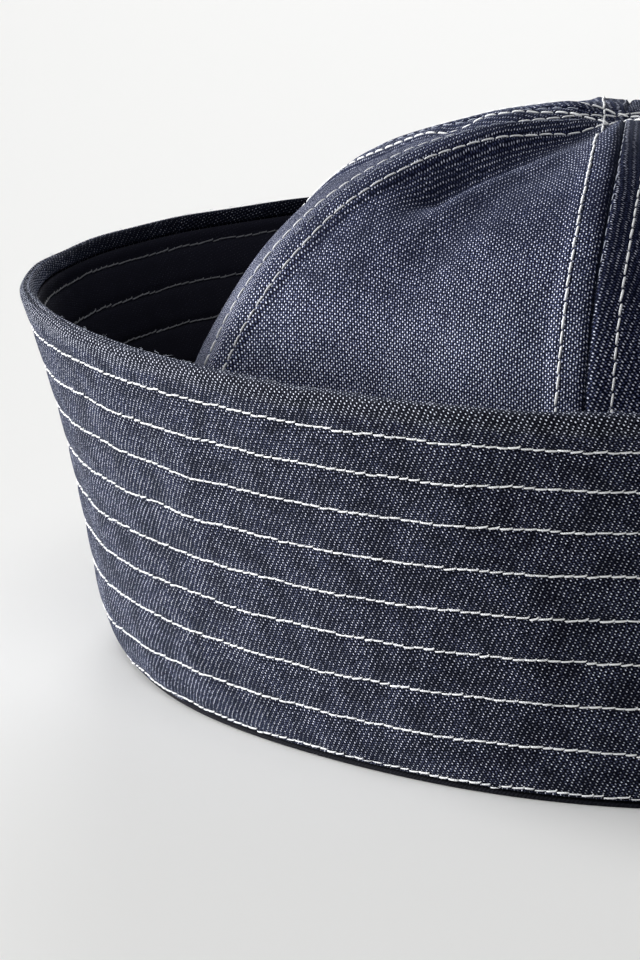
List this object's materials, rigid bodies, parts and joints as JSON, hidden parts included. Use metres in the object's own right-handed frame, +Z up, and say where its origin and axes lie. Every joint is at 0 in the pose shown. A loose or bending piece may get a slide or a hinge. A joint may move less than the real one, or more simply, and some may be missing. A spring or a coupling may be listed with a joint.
{
  "type": "sailor cap",
  "caption": "Soft denim sailor cap with a sewn gore crown inside a tall upturned brim that flares all round.",
  "frame": {"origin": "bottom centre of the cap's box, on the surface that the cap stands on", "axes": "+Z up through the crown, -Y towards the front of the cap, +X towards the wearer's left"},
  "size_m": [0.2095, 0.2294, 0.1025],
  "materials": {
    "crown_denim": "indigo denim with white flecks, topstitched in white",
    "brim_denim": "dark indigo denim, quilted with parallel rows of white stitching",
    "band_tape": "black woven tape"
  },
  "bodies": {
    "root": {"crown_gore_1": "crown_denim", "crown_gore_2": "crown_denim", "crown_gore_3": "crown_denim", "crown_gore_4": "crown_denim", "crown_gore_5": "crown_denim", "crown_gore_6": "crown_denim", "brim_outer": "brim_denim", "brim_facing": "brim_denim", "sweatband": "band_tape"}
  },
  "joints": []
}
